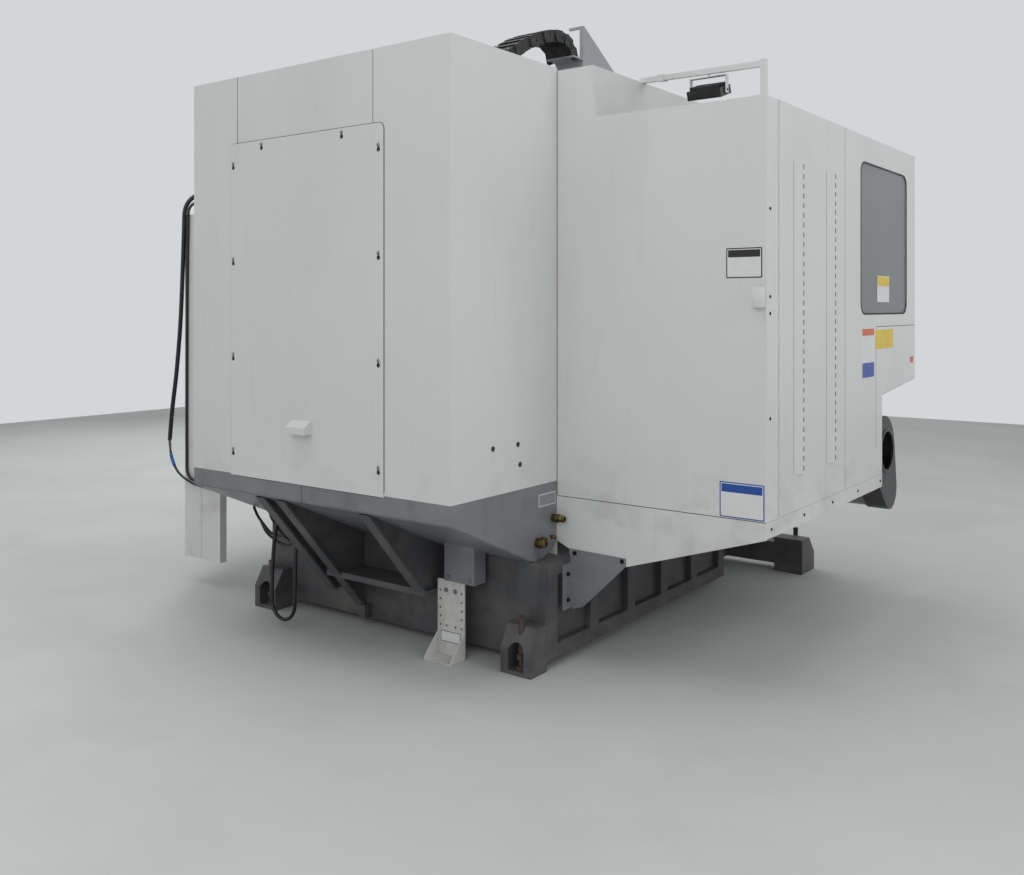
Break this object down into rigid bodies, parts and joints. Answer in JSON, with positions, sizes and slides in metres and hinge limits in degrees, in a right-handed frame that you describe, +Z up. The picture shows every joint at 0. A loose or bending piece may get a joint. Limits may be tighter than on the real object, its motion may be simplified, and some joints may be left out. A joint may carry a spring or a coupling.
{
  "type": "cnc machining center",
  "caption": "Vertical machining centre: cast base, column and spindle head with moving table, in an open-top sheet enclosure with sliding doors, rear cabinet and operator pendant.",
  "frame": {"origin": "middle of the overall box, on the floor", "axes": "+Z up; -Y is the operator's front with the sliding doors; +X is the operator's right, with the pendant"},
  "size_m": [3.188, 2.902, 2.75],
  "materials": {
    "white_panel": "smooth white paint",
    "grey_panel": "satin grey paint",
    "base_iron": "rough dark grey paint on castings",
    "column_iron": "painted castings",
    "head_iron": "light paint on castings",
    "ground_iron": "ground and scraped surfaces",
    "steel": "ground steel",
    "motor": "black paint",
    "pan": "light grey paint, scuffed",
    "bellows": "coated fabric, matt",
    "cable": "black sheath",
    "carrier": "black moulded links",
    "tinted_glass": "dark tinted pane",
    "brass": "dull brass",
    "module": "electrical modules",
    "pendant_shell": "light grey moulded housing",
    "lamp": "grey paint",
    "red": "red cap",
    "green": "green cap",
    "yellow": "yellow cap",
    "black_plastic": "black knobs"
  },
  "bodies": {
    "machine": {"base_casting": "base_iron", "levelling_screws": "steel", "column": "column_iron", "guide_rails": "steel", "axis_motors": "motor", "rear_struts": "base_iron", "leg_bracket": "grey_panel", "support_leg": "white_panel", "skirt": "grey_panel", "housing_corner_panels": "white_panel", "upper_rear_panel": "white_panel", "rear_access_panel": "white_panel", "vent_hood": "white_panel", "rear_walls": "white_panel", "guard_walls": "white_panel", "side_panels": "white_panel", "window_panels": "white_panel", "side_windows": "tinted_glass", "aprons": "white_panel", "gusset_brackets": "grey_panel", "chip_pan": "pan", "front_frame": "white_panel", "door_tracks": "steel", "cabinet_shell": "white_panel", "cabinet_backplate": "module", "lower_duct": "white_panel", "cables": "cable", "lamp_frame": "white_panel", "wall_fittings": "brass", "pendant_arm": "grey_panel", "chip_chute": "grey_panel", "changer_beam": "column_iron", "cable_carrier": "carrier", "front_bellows": "bellows", "rear_bellows": "bellows", "column_bellows": "bellows"},
    "saddle": {"saddle": "column_iron"},
    "table": {"table": "ground_iron"},
    "head": {"spindle_head": "head_iron", "spindle_motor": "motor", "carrier_gusset": "grey_panel"},
    "spindle": {"spindle": "steel"},
    "y_screw": {"y_ball_screw": "steel"},
    "z_screw": {"z_ball_screw": "steel"},
    "x_screw": {"x_ball_screw": "steel"},
    "left_door": {"left_door": "white_panel", "left_door_window": "tinted_glass"},
    "right_door": {"right_door": "white_panel", "right_door_window": "tinted_glass"},
    "cabinet_door": {"cabinet_door": "white_panel"},
    "main_switch": {"main_switch": "black_plastic"},
    "tool_shuttle": {"tool_shuttle": "grey_panel"},
    "tool_carousel": {"tool_carousel": "steel"},
    "pendant": {"pendant": "pendant_shell"},
    "emergency_stop": {"emergency_stop": "red"},
    "cycle_start": {"cycle_start_button": "green"},
    "feed_hold": {"feed_hold_button": "yellow"},
    "jog_wheel": {"jog_wheel": "black_plastic"},
    "work_lamp": {"work_lamp": "lamp"},
    "chip_auger": {"chip_auger": "steel"}
  },
  "joints": [
    {"name": "saddle_travel", "type": "slide", "parent": "machine", "child": "saddle", "axis": [0, 1, 0], "range_m": [-0.254, 0.254], "deforming": ["front_bellows", "rear_bellows"]},
    {"name": "table_travel", "type": "slide", "parent": "saddle", "child": "table", "axis": [1, 0, 0], "range_m": [-0.508, 0.508]},
    {"name": "head_travel", "type": "slide", "parent": "machine", "child": "head", "axis": [0, 0, 1], "range_m": [-0.635, 0], "deforming": ["column_bellows", "cable_carrier"]},
    {"name": "spindle_spin", "type": "hinge", "parent": "head", "child": "spindle", "pos_m": [0, -0.33, 1.627], "axis": [0, 0, 1], "continuous": true},
    {"name": "y_screw_spin", "type": "hinge", "parent": "machine", "child": "y_screw", "pos_m": [0, 0, 0.5], "axis": [0, 1, 0], "range_deg": [-3750, 3750]},
    {"name": "z_screw_spin", "type": "hinge", "parent": "machine", "child": "z_screw", "pos_m": [0, 0.29, 1.5], "axis": [0, 0, 1], "range_deg": [-9200, 50]},
    {"name": "x_screw_spin", "type": "hinge", "parent": "saddle", "child": "x_screw", "pos_m": [0, -0.33, 0.76], "axis": [1, 0, 0], "range_deg": [-7400, 7400]},
    {"name": "left_door_slide", "type": "slide", "parent": "machine", "child": "left_door", "axis": [-1, 0, 0], "range_m": [0, 0.56]},
    {"name": "right_door_slide", "type": "slide", "parent": "machine", "child": "right_door", "axis": [1, 0, 0], "range_m": [0, 0.56]},
    {"name": "cabinet_door_hinge", "type": "hinge", "parent": "machine", "child": "cabinet_door", "pos_m": [0.766, 0.959, 1.2], "axis": [0, 0, 1], "range_deg": [0, 90]},
    {"name": "main_switch_turn", "type": "hinge", "parent": "cabinet_door", "child": "main_switch", "pos_m": [1.282, 0.968, 1.233], "axis": [0, 1, 0], "range_deg": [0, 90]},
    {"name": "tool_shuttle_travel", "type": "slide", "parent": "machine", "child": "tool_shuttle", "axis": [1, 0, 0], "range_m": [0, 0.33]},
    {"name": "carousel_index", "type": "hinge", "parent": "tool_shuttle", "child": "tool_carousel", "pos_m": [-0.57, -0.33, 1.58], "axis": [0, 0, 1], "continuous": true},
    {"name": "pendant_swivel", "type": "hinge", "parent": "machine", "child": "pendant", "pos_m": [1.39, -1.3505, 1.74], "axis": [0, 0, 1], "range_deg": [-60, 60]},
    {"name": "emergency_stop_press", "type": "slide", "parent": "pendant", "child": "emergency_stop", "axis": [0, 1, 0], "range_m": [0, 0.006], "stiffness_N_per_m": 1500, "springref_m": -0.002},
    {"name": "cycle_start_press", "type": "slide", "parent": "pendant", "child": "cycle_start", "axis": [0, 1, 0], "range_m": [0, 0.004], "stiffness_N_per_m": 900, "springref_m": -0.002},
    {"name": "feed_hold_press", "type": "slide", "parent": "pendant", "child": "feed_hold", "axis": [0, 1, 0], "range_m": [0, 0.004], "stiffness_N_per_m": 900, "springref_m": -0.002},
    {"name": "jog_wheel_turn", "type": "hinge", "parent": "pendant", "child": "jog_wheel", "pos_m": [1.48, -1.408, 1.2], "axis": [0, 1, 0], "continuous": true},
    {"name": "lamp_tilt", "type": "hinge", "parent": "machine", "child": "work_lamp", "pos_m": [-1.27982, 0.58564, 2.17623], "axis": [1, 0, 0], "range_deg": [-35, 40]},
    {"name": "auger_spin", "type": "hinge", "parent": "machine", "child": "chip_auger", "pos_m": [-0.35, -0.93, 0.5], "axis": [1, 0, 0], "continuous": true}
  ],
  "couplings": [
    {"joint": "y_screw_spin", "follows": "saddle_travel", "rad_per_m": 251.33},
    {"joint": "z_screw_spin", "follows": "head_travel", "rad_per_m": 251.33},
    {"joint": "x_screw_spin", "follows": "table_travel", "rad_per_m": 251.33}
  ]
}
